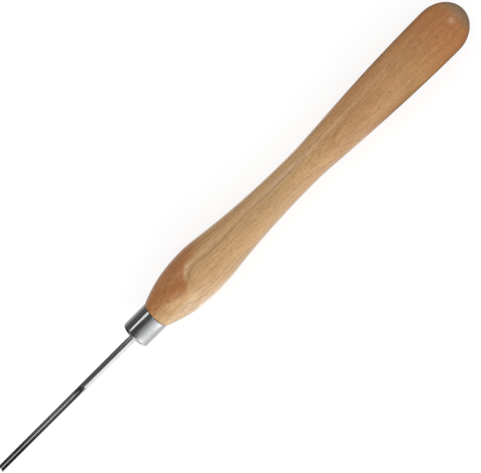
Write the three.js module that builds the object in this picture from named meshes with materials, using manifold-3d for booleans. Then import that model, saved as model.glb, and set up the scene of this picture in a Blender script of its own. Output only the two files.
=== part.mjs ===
// A bowl gouge: a round steel bar with a milled flute and a ground bevel. Its plain end is bedded
// in a turned wooden handle, and a metal ferrule binds the neck of the handle.
// Millimetres, Z up. The tool lies along X with its cutting edge at +X and its flute facing up.
// X = 0 is halfway along the tool, and Z = 0 is the surface that the handle rests on.

import * as THREE from 'three';
import { mergeVertices } from 'three/addons/utils/BufferGeometryUtils.js';
import Module from 'manifold-3d';

const { degToRad } = THREE.MathUtils;

// Fits and cuts
const fitClearance = 0.3; // between pieces that fit into each other or seat against each other
const cutOverrun = 1.0; // how far a cutting shape runs past the stock

// Steel bar, measured along the tool from the front face of the ferrule
const barDiameter = 6.0;
const bladeLength = 152.5; // out to the cutting edge
const tangLength = 65.0; // back into the handle
const tangChamfer = 0.8;

// Flute, a round-bottomed channel with flared walls, milled by a form wheel
const fluteLength = 96.5; // from the cutting edge to the far end of the run-out
const fluteFloorDrop = 1.0; // the floor lies this far below the middle of the bar
const fluteBottomRadius = 1.5;
const fluteWallAngle = degToRad(22); // between a wall and the upright
const formWheelRadius = 32.0;

// Bevel, ground straight across under the flute so that the edge is square to the tool
const bevelAngle = degToRad(45); // between the bevel and the bar

// Ferrule, a drawn cup with a hole in its front web for the bar
const ferruleDiameter = 24.0;
const ferruleLength = 24.0; // from its front face to the shoulder of the handle
const ferruleWall = 1.2;
const ferruleCornerRadius = 2.4;
const ferruleRimRadius = 0.4;

// Handle, with places along it measured from its shoulder towards the butt
const handleLength = 330.0;
const neckAngle = degToRad(22); // of the wood where it leaves the ferrule, to the tool's axis
const bellyDiameter = 42.6;
const bellyPlace = 50.6;
const waistDiameter = 28.2;
const waistPlace = 163.6;
const swellDiameter = 39.8;
const swellPlace = 306.2;
const drillPointAngle = degToRad(118); // of the bit that made the hole for the bar

// How far each end's control point reaches along a stretch of the handle's outline, as a share of
// that stretch
const neckReachShares = [0.47, 0.19];
const hollowReachShares = [0.11, 0.61];
const gripReachShares = [0.08, 0.48];

// Fineness of the facets
const roundSides = 48;
const wheelSides = 144;
const stretchSteps = 16;
const buttSteps = 12;
const cornerSteps = 6;
const fluteArcSteps = 12;

// Sizes and places that follow
const barRadius = barDiameter / 2;
const boreRadius = barRadius + fitClearance;
const barLength = bladeLength + tangLength;
const ferruleRadius = ferruleDiameter / 2;
const ferruleBore = ferruleRadius - ferruleWall;
const webCornerRadius = ferruleCornerRadius - ferruleWall;
const overallLength = bladeLength + ferruleLength + handleLength;
const edgeX = overallLength / 2;
const ferruleX = edgeX - bladeLength;
const shoulderX = ferruleX - ferruleLength;
const axisHeight = (bellyDiameter / 2) * Math.cos(Math.PI / roundSides);

const wasm = await Module();
wasm.setup();

// Turns a three.js geometry into a solid that can be cut, leaving out the triangles that collapse
// where a profile meets the axis.
function toSolid(geometry) {
  const bare = geometry.clone();
  bare.deleteAttribute('normal');
  bare.deleteAttribute('uv');
  const merged = mergeVertices(bare);
  const corners = merged.index.array;
  const kept = [];
  for (let i = 0; i < corners.length; i += 3) {
    const [a, b, c] = corners.slice(i, i + 3);
    if (a !== b && b !== c && c !== a) {
      kept.push(a, b, c);
    }
  }
  return new wasm.Manifold(new wasm.Mesh({
    numProp: 3,
    vertProperties: new Float32Array(merged.attributes.position.array),
    triVerts: new Uint32Array(kept),
  }));
}

// Turns a cut solid back into a geometry.
function toGeometry(solid) {
  const { vertProperties, triVerts } = solid.getMesh();
  const geometry = new THREE.BufferGeometry();
  geometry.setAttribute('position', new THREE.BufferAttribute(vertProperties, 3));
  geometry.setIndex(new THREE.BufferAttribute(triVerts, 1));
  return geometry;
}

// Revolves a profile, given as (radius, place along X), round the X axis, with one facet facing
// straight down.
function revolved(profile) {
  const geometry = new THREE.LatheGeometry(profile, roundSides, Math.PI / roundSides);
  return geometry.rotateZ(-Math.PI / 2);
}

// Extrudes a shape, drawn with Y to the right and Z up, along X.
function extrudedAlongX(shape, options) {
  const geometry = new THREE.ExtrudeGeometry(shape, options);
  return geometry.rotateX(Math.PI / 2).rotateZ(Math.PI / 2);
}

function point(x, y) {
  return new THREE.Vector2(x, y);
}

// Points of a circular arc round a centre, from one direction to another.
function arcPoints(centre, radius, fromAngle, toAngle, steps) {
  const clockwise = toAngle < fromAngle;
  const arc = new THREE.EllipseCurve(centre.x, centre.y, radius, radius, fromAngle, toAngle, clockwise);
  return arc.getPoints(steps);
}

// Strings runs of points together where each run starts at the end of the one before.
function strung(...runs) {
  return runs.flatMap((run, index) => run.slice(index === 0 ? 0 : 1));
}

// One stretch of the handle's outline between two places, level at its far end.
function outlineStretch(from, to, startSlope, reachShares) {
  const length = from.y - to.y;
  const [startShare, endShare] = reachShares;
  const leave = point(from.x + startSlope * startShare * length, from.y - startShare * length);
  const arrive = point(to.x, to.y + endShare * length);
  return new THREE.CubicBezierCurve(from, leave, arrive, to).getPoints(stretchSteps);
}

// The handle, with X = 0 at its shoulder: a spigot for the ferrule, a belly, a long waist, a swell
// and a domed butt, and a blind drilled hole for the bar.
function handleGeometry() {
  const spigotRadius = ferruleBore - fitClearance;
  const spigotLength = ferruleLength - ferruleWall - fitClearance;
  const boreEnd = ferruleLength - tangLength - fitClearance;
  const boreTip = boreEnd - boreRadius / Math.tan(drillPointAngle / 2);
  const shoulder = point(ferruleRadius, 0);
  const belly = point(bellyDiameter / 2, -bellyPlace);
  const waist = point(waistDiameter / 2, -waistPlace);
  const swell = point(swellDiameter / 2, -swellPlace);
  const buttDepth = handleLength - swellPlace;
  const butt = new THREE.EllipseCurve(0, swell.y, swell.x, buttDepth, 0, -Math.PI / 2, true);
  const outline = strung(
    outlineStretch(shoulder, belly, Math.tan(neckAngle), neckReachShares),
    outlineStretch(belly, waist, 0, hollowReachShares),
    outlineStretch(waist, swell, 0, gripReachShares),
    butt.getPoints(buttSteps),
  );
  const inside = [
    point(0, boreTip),
    point(boreRadius, boreEnd),
    point(boreRadius, spigotLength),
    point(spigotRadius - webCornerRadius, spigotLength),
    point(spigotRadius, spigotLength - webCornerRadius),
    point(spigotRadius, 0),
  ];
  return revolved([...inside, ...outline].reverse());
}

// The ferrule, with X = 0 at its front face: a thin cup whose web has the hole for the bar. It
// stops just short of the shoulder.
function ferruleGeometry() {
  const rimX = fitClearance - ferruleLength;
  const webCorner = point(ferruleBore - webCornerRadius, -ferruleCornerRadius);
  const frontCorner = point(ferruleRadius - ferruleCornerRadius, -ferruleCornerRadius);
  const rim = point(ferruleRadius - ferruleRimRadius, rimX + ferruleRimRadius);
  const profile = [
    point(ferruleBore, rimX),
    ...arcPoints(webCorner, webCornerRadius, 0, Math.PI / 2, cornerSteps),
    point(boreRadius, -ferruleWall),
    point(boreRadius, 0),
    ...arcPoints(frontCorner, ferruleCornerRadius, Math.PI / 2, 0, cornerSteps),
    ...arcPoints(rim, ferruleRimRadius, 0, -Math.PI / 2, cornerSteps),
    point(ferruleBore, rimX),
  ];
  return revolved(profile.reverse());
}

// The walls and floor of the flute, drawn across the bar from one lip round to the other.
function fluteWalls() {
  const centre = point(0, fluteBottomRadius - fluteFloorDrop);
  const wallStart = Math.PI + fluteWallAngle;
  const floor = arcPoints(centre, fluteBottomRadius, wallStart, 3 * Math.PI - wallStart, fluteArcSteps);
  const tangent = floor.at(-1);
  const lipZ = barRadius + cutOverrun;
  const lipY = tangent.x + (lipZ - tangent.y) * Math.tan(fluteWallAngle);
  return [point(-lipY, lipZ), ...floor, point(lipY, lipZ)];
}

// The whole section that the flute's walls bound, closed above the bar by a half circle.
function fluteShape() {
  const walls = fluteWalls();
  const lip = walls.at(-1);
  const roof = arcPoints(point(0, lip.y), lip.x, 0, Math.PI, fluteArcSteps);
  return new THREE.Shape(strung(walls, roof).slice(0, -1));
}

// The space that the form wheel clears: a straight channel from the cutting edge to the middle of
// the wheel, and the wheel itself, which rises out of the bar in the run-out.
function fluteCut() {
  const fluteDepth = barRadius + fluteFloorDrop;
  const runOut = Math.sqrt(formWheelRadius ** 2 - (formWheelRadius - fluteDepth) ** 2);
  const straight = fluteLength - runOut;
  const channel = extrudedAlongX(fluteShape(), {
    depth: straight + 2 * cutOverrun, // past the bar stock, which has an overrun of its own
    bevelEnabled: false,
  });
  channel.translate(-straight, 0, 0);
  const rim = fluteWalls().map(({ x, y }) => point(formWheelRadius - fluteFloorDrop - y, x));
  const hub = rim.at(-1).y;
  const wheel = new THREE.LatheGeometry([point(0, -hub), ...rim, point(0, hub)], wheelSides);
  wheel.translate(-straight, 0, formWheelRadius - fluteFloorDrop);
  return toSolid(channel).add(toSolid(wheel));
}

// What the grinding leaves of the bar: the flute's own section at the cutting edge, which grows
// evenly backwards at the bevel's angle until it holds the whole bar.
function bevelEnvelope() {
  const taperLength = barDiameter + cutOverrun;
  const envelope = extrudedAlongX(fluteShape(), {
    depth: barLength,
    bevelEnabled: true,
    bevelSegments: 1,
    bevelThickness: taperLength,
    bevelSize: taperLength * Math.tan(bevelAngle),
    bevelOffset: -cutOverrun * Math.tan(bevelAngle),
  });
  return toSolid(envelope.translate(-barLength - barDiameter, 0, 0));
}

// The gouge bar, with X = 0 at its cutting edge.
function gougeBarGeometry() {
  const stock = revolved([
    point(0, -barLength),
    point(barRadius - tangChamfer, -barLength),
    point(barRadius, tangChamfer - barLength),
    point(barRadius, cutOverrun),
    point(0, cutOverrun),
  ]);
  return toGeometry(toSolid(stock).intersect(bevelEnvelope()).subtract(fluteCut()));
}

const lacqueredBeech = new THREE.MeshStandardMaterial({ color: 0xc49a6e, roughness: 0.45, metalness: 0 });
const platedSteel = new THREE.MeshStandardMaterial({ color: 0xc8c9cb, roughness: 0.15, metalness: 1 });
const groundSteel = new THREE.MeshStandardMaterial({ color: 0xa9abae, roughness: 0.3, metalness: 1 });

function namedPiece(name, geometry, material, x) {
  const piece = new THREE.Mesh(geometry, material);
  piece.name = name;
  piece.position.x = x;
  return piece;
}

const bowlGouge = new THREE.Group();
bowlGouge.position.z = axisHeight;
bowlGouge.add(
  namedPiece('handle', handleGeometry(), lacqueredBeech, shoulderX),
  namedPiece('ferrule', ferruleGeometry(), platedSteel, ferruleX),
  namedPiece('gouge_bar', gougeBarGeometry(), groundSteel, edgeX),
);

export default bowlGouge;
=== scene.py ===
"""A bowl gouge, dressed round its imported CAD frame.

A fluted steel bar is bedded in a turned and lacquered beech handle, and a plated ferrule binds
the neck of the handle. Everything is in metres in the CAD model's own frame: the tool lies
along X with its cutting edge at +X, its flute faces up, and Z = 0 is the surface that the
handle rests on.
"""

import logging
import math
from abc import ABC, abstractmethod
from collections.abc import Callable, Mapping, Sequence
from dataclasses import dataclass
from enum import Enum
from functools import reduce
from typing import ClassVar, NamedTuple, Union

import bmesh
import bpy
from mathutils import Color, Matrix, Vector
from mathutils.geometry import interpolate_bezier


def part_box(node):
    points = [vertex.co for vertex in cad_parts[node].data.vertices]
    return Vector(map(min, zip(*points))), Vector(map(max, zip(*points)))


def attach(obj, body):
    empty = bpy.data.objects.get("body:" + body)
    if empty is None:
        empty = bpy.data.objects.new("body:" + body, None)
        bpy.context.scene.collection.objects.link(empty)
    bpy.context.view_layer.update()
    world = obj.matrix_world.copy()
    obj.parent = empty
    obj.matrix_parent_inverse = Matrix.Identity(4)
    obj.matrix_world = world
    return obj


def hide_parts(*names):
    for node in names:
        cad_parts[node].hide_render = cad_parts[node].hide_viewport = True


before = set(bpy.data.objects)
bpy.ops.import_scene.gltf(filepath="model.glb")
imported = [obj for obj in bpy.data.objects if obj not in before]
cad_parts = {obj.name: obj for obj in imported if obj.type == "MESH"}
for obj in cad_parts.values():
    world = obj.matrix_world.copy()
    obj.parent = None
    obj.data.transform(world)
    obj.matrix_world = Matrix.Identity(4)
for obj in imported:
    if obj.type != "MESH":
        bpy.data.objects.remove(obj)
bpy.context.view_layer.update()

log = logging.getLogger("bowl_gouge")

Triple = tuple[float, float, float]
Socket = bpy.types.NodeSocket
Outputs = bpy.types.NodeOutputs
Source = Union[Socket, float, Sequence[float]]
Inputs = Union[Mapping[Union[str, int], Source], None]

# The CAD's round forms have this many flats, and the middles of the flats lie inside the round
# size. The smooth pieces are turned down to them, so they stay inside the CAD's box.
CAD_SIDES = 48
FLAT_SHARE = math.cos(math.pi / CAD_SIDES)

# The gap that the CAD leaves between pieces that seat against each other
SEAT_GAP = 0.0003

# Points closer together than this are one point
MERGE_DISTANCE = 2e-6

MILLIMETRES = 1000.0
SCREEN_WHITE = 255
WHITE: Triple = (1.0, 1.0, 1.0)

# What a place is multiplied by to leave only its distances from the tool's axis
ACROSS: Triple = (0.0, 1.0, 1.0)


def from_screen(*levels: int) -> Triple:
    """Turns red, green and blue from 0 to 255 into the linear colour that a shader takes."""
    return tuple(Color([level / SCREEN_WHITE for level in levels]).from_srgb_to_scene_linear())


# Node sheets


class Maths(Enum):
    """The sums of numbers that the materials use."""

    ADD = "ADD"
    SUBTRACT = "SUBTRACT"
    MULTIPLY = "MULTIPLY"
    DIVIDE = "DIVIDE"
    FRACTION = "FRACT"
    ANGLE = "ARCTAN2"
    SIZE = "ABSOLUTE"
    LARGER = "MAXIMUM"
    SMALLER = "MINIMUM"


class Vectors(Enum):
    """The sums of places that the materials use, each with the output that gives its result."""

    ADD = ("ADD", "Vector")
    SUBTRACT = ("SUBTRACT", "Vector")
    MULTIPLY = ("MULTIPLY", "Vector")
    MULTIPLY_ADD = ("MULTIPLY_ADD", "Vector")
    LENGTH = ("LENGTH", "Value")
    DISTANCE = ("DISTANCE", "Value")
    AGREEMENT = ("DOT_PRODUCT", "Value")


class Ease(NamedTuple):
    """A smooth change from one result to another between two values, held past both."""

    low: float
    high: float
    start: float = 0.0
    end: float = 1.0


class Grain(NamedTuple):
    """The grain of a noise: its density along each axis, its finer layers and their strength."""

    density: Source
    detail: float
    roughness: float = 0.5


class Sheet:
    """A node tree, with short ways to add nodes to it and to join them."""

    EASE_INPUTS: ClassVar[tuple[str, ...]] = ("Value", "From Min", "From Max", "To Min", "To Max")
    MIX_INPUTS: ClassVar[tuple[int, ...]] = (0, 6, 7)
    MIX_RESULT: ClassVar[int] = 2

    def __init__(self, tree: bpy.types.NodeTree) -> None:
        """Keeps the tree that the nodes go into."""
        self.tree = tree

    @classmethod
    def blank(cls, owner: Union[bpy.types.Material, bpy.types.World]) -> "Sheet":
        """Clears the nodes of a material or a world.

        Args:
            owner: What the nodes belong to.

        Returns:
            The blank sheet.
        """
        owner.use_nodes = True
        owner.node_tree.nodes.clear()
        return cls(owner.node_tree)

    def node(self, kind: str, inputs: Inputs = None, **settings: object) -> bpy.types.Node:
        """Adds a node.

        Args:
            kind: Blender's name for the kind of node.
            inputs: What its inputs are fed from, by name or number.
            **settings: Properties of the node to set.

        Returns:
            The new node.
        """
        made = self.tree.nodes.new(kind)
        for name, value in settings.items():
            setattr(made, name, value)
        for name, source in (inputs or {}).items():
            self.feed(made.inputs[name], source)
        return made

    def feed(self, socket: Socket, source: Source) -> None:
        """Joins a socket to a source, or writes a plain value on it.

        Args:
            socket: The input.
            source: An output to join, or a number, point or colour.
        """
        if isinstance(source, Socket):
            self.tree.links.new(source, socket)
        elif socket.type == "RGBA":
            socket.default_value = (*source, 1.0)
        else:
            socket.default_value = source

    def sum(self, kind: Maths, *numbers: Source) -> Socket:
        """Adds a sum of one or two numbers."""
        return self.node("ShaderNodeMath", dict(enumerate(numbers)), operation=kind.value).outputs[0]

    def plus(self, first: Source, second: Source) -> Socket:
        """Adds one number to another."""
        return self.sum(Maths.ADD, first, second)

    def less(self, first: Source, second: Source) -> Socket:
        """Takes the second number from the first."""
        return self.sum(Maths.SUBTRACT, first, second)

    def times(self, *numbers: Source) -> Source:
        """Multiplies numbers."""
        return reduce(lambda first, second: self.sum(Maths.MULTIPLY, first, second), numbers)

    def vector(self, kind: Vectors, *places: Source) -> Socket:
        """Adds a sum of places.

        Args:
            kind: Which sum.
            *places: The places.

        Returns:
            The result.
        """
        operation, result = kind.value
        made = self.node("ShaderNodeVectorMath", dict(enumerate(places)), operation=operation)
        return made.outputs[result]

    def stretch(self, place: Source, density: Source) -> Socket:
        """Scales a place or a colour by a socket's number, or by a number along each axis."""
        return self.vector(Vectors.MULTIPLY, place, density)

    def parts(self, place: Source) -> Outputs:
        """Splits a place into its three numbers."""
        return self.node("ShaderNodeSeparateXYZ", {0: place}).outputs

    def point(self, *numbers: Source) -> Socket:
        """Makes a place of three numbers."""
        return self.node("ShaderNodeCombineXYZ", dict(enumerate(numbers))).outputs[0]

    def ease(
        self, value: Source, low: float, high: float, start: Source = 0.0, end: Source = 1.0
    ) -> Socket:
        """Takes a value smoothly from start, at the low end, to end, at the high one, and holds both."""
        inputs = dict(zip(self.EASE_INPUTS, (value, low, high, start, end)))
        return self.node("ShaderNodeMapRange", inputs, interpolation_type="SMOOTHSTEP").outputs["Result"]

    def within(self, value: Source, *eases: Ease) -> Source:
        """Multiplies several easings of one value."""
        return self.times(*(self.ease(value, *ease) for ease in eases))

    def mix(self, share: Source, first: Source, second: Source) -> Socket:
        """Mixes a share of the second colour into the first."""
        inputs = dict(zip(self.MIX_INPUTS, (share, first, second)))
        return self.node("ShaderNodeMix", inputs, data_type="RGBA").outputs[self.MIX_RESULT]

    def noise(self, place: Source, grain: Grain, output: str = "Fac") -> Socket:
        """Adds soft noise.

        Args:
            place: The place.
            grain: The noise's grain.
            output: Blender's name for the output to read.

        Returns:
            The noise.
        """
        spread = self.stretch(place, grain.density)
        inputs = {"Vector": spread, "Scale": 1.0, "Detail": grain.detail, "Roughness": grain.roughness}
        return self.node("ShaderNodeTexNoise", inputs).outputs[output]

    def ramp(self, value: Source, stops: Sequence[tuple[float, float]]) -> Socket:
        """Reads a grey from a row of stops.

        Args:
            value: The value, from 0 to 1.
            stops: Places from 0 to 1 with the grey at each, in order.

        Returns:
            The grey.
        """
        made = self.node("ShaderNodeValToRGB", {"Fac": value})
        elements = made.color_ramp.elements
        for index, (place, grey) in enumerate(stops):
            element = elements[index] if index < len(elements) else elements.new(place)
            element.position = place
            element.color = (grey, grey, grey, 1.0)
        return made.outputs["Color"]

    def relief(self, height: Source, depth: float, strength: float = 1.0) -> Socket:
        """Turns a height into a bumped normal, where a height of 1 is as deep as given."""
        inputs = {"Height": height, "Distance": depth, "Strength": strength}
        return self.node("ShaderNodeBump", inputs).outputs["Normal"]


class SocketKind(Enum):
    """The kinds of socket that the node groups have."""

    NUMBER = "NodeSocketFloat"
    PLACE = "NodeSocketVector"


class Effect(ABC):
    """A node group that materials share, built once."""

    name: ClassVar[str]
    inputs: ClassVar[dict[str, SocketKind]]
    outputs: ClassVar[dict[str, SocketKind]]

    @classmethod
    def group(cls) -> bpy.types.NodeTree:
        """Finds the group, and builds it the first time.

        Returns:
            The group.
        """
        found = bpy.data.node_groups.get(cls.name)
        if found is not None:
            return found
        tree = bpy.data.node_groups.new(cls.name, "ShaderNodeTree")
        for direction, sockets in (("INPUT", cls.inputs), ("OUTPUT", cls.outputs)):
            for label, kind in sockets.items():
                tree.interface.new_socket(name=label, in_out=direction, socket_type=kind.value)
        sheet = Sheet(tree)
        given = sheet.node("NodeGroupInput").outputs
        sheet.node("NodeGroupOutput", cls.fill(sheet, given))
        return tree

    @classmethod
    @abstractmethod
    def fill(cls, sheet: Sheet, given: Outputs) -> dict[str, Source]:
        """Adds the group's nodes.

        Args:
            sheet: The group's own sheet.
            given: The group's inputs.

        Returns:
            What each output is fed from.
        """

    @classmethod
    def place(cls, sheet: Sheet, **values: Source) -> Outputs:
        """Places the group on a material's sheet, with what each of its inputs is fed from."""
        return sheet.node("ShaderNodeGroup", values, node_tree=cls.group()).outputs


class ToolLines(Effect):
    """Fine lines left by a tool, drawn out along one axis."""

    name = "tool_lines"
    inputs = {"Place": SocketKind.PLACE, "Density": SocketKind.PLACE, "Gathering": SocketKind.NUMBER}
    outputs = {"Height": SocketKind.NUMBER, "Deep": SocketKind.NUMBER}
    deep: ClassVar[Ease] = Ease(0.28, 0.42)

    @classmethod
    def fill(cls, sheet: Sheet, given: Outputs) -> dict[str, Source]:
        """Adds the lines, and the few that are deeper than the rest.

        Args:
            sheet: The group's own sheet.
            given: The group's inputs.

        Returns:
            The height of the lines, and a mask of the deep ones.
        """
        spread = sheet.stretch(given["Place"], given["Density"])
        fine = sheet.noise(given["Place"], Grain(given["Density"], detail=2.0, roughness=0.6))
        broad = sheet.noise(spread, Grain(given["Gathering"], detail=1.0))
        return {"Height": fine, "Deep": sheet.ease(sheet.times(fine, broad), *cls.deep)}


class Handling(Effect):
    """Soft patches that hands, cloths and the air leave on a smooth surface."""

    name = "handling"
    inputs = {"Place": SocketKind.PLACE, "Size": SocketKind.NUMBER}
    outputs = {"Patches": SocketKind.NUMBER}
    levels: ClassVar[Ease] = Ease(0.35, 0.7)

    @classmethod
    def fill(cls, sheet: Sheet, given: Outputs) -> dict[str, Source]:
        """Adds the patches.

        Args:
            sheet: The group's own sheet.
            given: The group's inputs.

        Returns:
            A mask of the patches.
        """
        density = sheet.sum(Maths.DIVIDE, 1.0, given["Size"])
        patches = sheet.noise(given["Place"], Grain(density, detail=3.0, roughness=0.55))
        return {"Patches": sheet.ease(patches, *cls.levels)}


class EdgeWearAndGlint(Effect):
    """A mask of the corners, where a finish is rubbed, and where the steel also gets a painted highlight.
    """

    name = "edge_wear_and_glint"
    inputs = {"Width": SocketKind.NUMBER}
    outputs = {"Worn": SocketKind.NUMBER}
    levels: ClassVar[Ease] = Ease(0.995, 0.93)

    @classmethod
    def fill(cls, sheet: Sheet, given: Outputs) -> dict[str, Source]:
        """Compares the surface's direction with one rounded over its corners.

        Args:
            sheet: The group's own sheet.
            given: The group's inputs.

        Returns:
            A mask of the corners.
        """
        rounded = sheet.node("ShaderNodeBevel", {"Radius": given["Width"]}, samples=6).outputs["Normal"]
        plain = sheet.node("ShaderNodeNewGeometry").outputs["Normal"]
        return {"Worn": sheet.ease(sheet.vector(Vectors.AGREEMENT, rounded, plain), *cls.levels)}


class Year(NamedTuple):
    """A year's dark late wood.

    It has the distance of its sharp outer side from the pith and its width, in millimetres, and
    its darkness.
    """

    radius: float
    width: float
    darkness: float


class Growth(Effect):
    """The growth of a beech tree, as rings and rays round a pith that lies along local X.

    The place is in millimetres from the pith. The uneven years that show on top of the handle
    are listed, and the years inside and outside them are even.
    """

    name = "growth"
    inputs = {"Place": SocketKind.PLACE}
    outputs = dict.fromkeys(("Late Wood", "Ring Tone", "Rays", "Fibre", "Streaks"), SocketKind.NUMBER)
    years: ClassVar[tuple[Year, ...]] = (
        Year(53.1, 0.8, 0.7),
        Year(54.7, 1.3, 1.0),
        Year(56.3, 0.6, 0.6),
        Year(59.06, 0.55, 1.0),
        Year(59.75, 0.35, 0.35),
        Year(60.75, 0.5, 0.65),
        Year(61.35, 0.4, 0.6),
        Year(62.7, 1.3, 1.0),
        Year(64.9, 0.8, 0.5),
    )
    late_end: ClassVar[float] = 0.18
    list_fade: ClassVar[float] = 1.0
    even_width: ClassVar[float] = 1.5
    even_darkness: ClassVar[float] = 0.5
    # Places through an even year, from 0 to 1, with the darkness at each
    even_year: ClassVar[tuple[tuple[float, float], ...]] = (
        (0.0, 0.1), (0.12, 0.0), (0.55, 0.2), (0.86, 0.8), (0.95, 1.0), (1.0, 0.1)
    )
    sway: ClassVar[Grain] = Grain((0.012, 0.035, 0.035), detail=3.0)
    sway_middle: ClassVar[Triple] = (0.5, 0.5, 0.5)
    sway_reach: ClassVar[Triple] = (0.0, 0.5, 0.5)
    uneven: ClassVar[Grain] = Grain((0.45, 0.0, 0.0), detail=1.0)
    unevenness: ClassVar[float] = 0.8
    tone: ClassVar[Grain] = Grain((0.31, 1.0, 1.0), detail=1.5)
    tone_start: ClassVar[tuple[float, float]] = (7.0, 3.0)
    tone_levels: ClassVar[Ease] = Ease(0.3, 0.7)
    fibre: ClassVar[Grain] = Grain((0.16, 1.5, 1.5), detail=4.0, roughness=0.7)
    streaks: ClassVar[Grain] = Grain((0.014, 0.5, 0.4), detail=3.0, roughness=0.65)
    ray_density: ClassVar[Triple] = (0.28, 80.0, 0.07)
    ray_core: ClassVar[Ease] = Ease(0.5, 0.14)
    ray_chance: ClassVar[Ease] = Ease(0.2, 0.8)

    @classmethod
    def fill(cls, sheet: Sheet, given: Outputs) -> dict[str, Source]:
        """Adds the rings, their tones, the rays that cross them and the fibres.

        Args:
            sheet: The group's own sheet.
            given: The group's inputs.

        Returns:
            The masks of the late wood, the tones, the rays, the fibres and the streaks.
        """
        place = given["Place"]
        level = sheet.vector(Vectors.SUBTRACT, sheet.noise(place, cls.sway, "Color"), cls.sway_middle)
        swayed = sheet.vector(Vectors.MULTIPLY_ADD, level, cls.sway_reach, place)
        radius = sheet.vector(Vectors.LENGTH, sheet.stretch(swayed, ACROSS))
        count = sheet.sum(Maths.DIVIDE, radius, cls.even_width)
        uneven = sheet.noise(sheet.point(count, 0.0, 0.0), cls.uneven)
        number = sheet.plus(count, sheet.times(uneven, cls.unevenness))
        tone = sheet.noise(sheet.point(number, *cls.tone_start), cls.tone)
        return {
            "Late Wood": cls._late(sheet, radius, number),
            "Ring Tone": sheet.ease(tone, *cls.tone_levels),
            "Rays": cls._rays(sheet, sheet.parts(swayed), radius),
            "Fibre": sheet.noise(place, cls.fibre),
            "Streaks": sheet.noise(place, cls.streaks),
        }

    @classmethod
    def _late(cls, sheet: Sheet, radius: Source, number: Source) -> Socket:
        """Adds the late wood, which darkens outwards through a ring and ends sharply.

        Args:
            sheet: The group's sheet.
            radius: The distance from the pith.
            number: The number of even rings up to there.

        Returns:
            The mask of the late wood.
        """
        start = cls.years[0].radius - cls.years[0].width
        end = cls.years[-1].radius + cls.late_end
        reached = start
        stops = []
        for year in cls.years:
            rise = max(reached, year.radius - year.width)
            reached = year.radius + cls.late_end
            for place, dark in ((rise, 0.0), (year.radius, year.darkness), (reached, 0.0)):
                stops.append(((place - start) / (end - start), dark))
        listed = sheet.ramp(sheet.sum(Maths.DIVIDE, sheet.less(radius, start), end - start), stops)
        even = sheet.times(sheet.ramp(sheet.sum(Maths.FRACTION, number), cls.even_year), cls.even_darkness)
        fade = cls.list_fade
        inside = sheet.within(radius, Ease(start - fade, start), Ease(end + fade, end))
        return sheet.ease(inside, 0.0, 1.0, even, listed)

    @classmethod
    def _rays(cls, sheet: Sheet, parts: Outputs, radius: Source) -> Source:
        """Adds the rays: thin upright blades that run out from the pith.

        Args:
            sheet: The group's sheet.
            parts: The place's three numbers.
            radius: The distance from the pith.

        Returns:
            The mask of the rays.
        """
        turn = sheet.sum(Maths.ANGLE, parts[1], parts[2])
        blade = sheet.stretch(sheet.point(parts[0], turn, radius), cls.ray_density)
        cells = sheet.node("ShaderNodeTexVoronoi", {"Vector": blade, "Scale": 1.0}).outputs
        core = sheet.ease(cells["Distance"], *cls.ray_core)
        return sheet.times(core, sheet.ease(sheet.parts(cells["Color"])[0], *cls.ray_chance))


# Finishes


class Tint(NamedTuple):
    """A colour laid over part of a piece.

    Its share is multiplied by easings of the place along the piece and across it, in metres.
    """

    colour: Triple
    share: float
    along: tuple[Ease, ...]
    across: tuple[Ease, ...] = ()

    def over(self, sheet: Sheet, body: Source, parts: Outputs) -> Socket:
        """Lays the colour over another.

        Args:
            sheet: The material's sheet.
            body: The colour beneath.
            parts: The place along the piece, across it and up.

        Returns:
            The mixed colour.
        """
        eased = [sheet.ease(parts[0], *ease) for ease in self.along]
        eased += [sheet.ease(parts[1], *ease) for ease in self.across]
        return sheet.mix(sheet.times(self.share, *eased), body, self.colour)


class Finish(ABC):
    """A material, made once."""

    name: ClassVar[str]

    def material(self) -> bpy.types.Material:
        """Finds the material, and builds it the first time.

        Returns:
            The material.
        """
        found = bpy.data.materials.get(self.name)
        if found is not None:
            return found
        made = bpy.data.materials.new(self.name)
        sheet = Sheet.blank(made)
        place = sheet.node("ShaderNodeTexCoord").outputs["Object"]
        surface = sheet.node("ShaderNodeBsdfPrincipled", self.dress(sheet, place))
        sheet.node("ShaderNodeOutputMaterial", {"Surface": surface.outputs[0]})
        return made

    @abstractmethod
    def dress(self, sheet: Sheet, place: Socket) -> dict[str, Source]:
        """Adds the material's nodes.

        Args:
            sheet: The material's sheet.
            place: The place on the piece, in metres.

        Returns:
            What each input of the surface's shader is fed from.
        """


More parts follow.
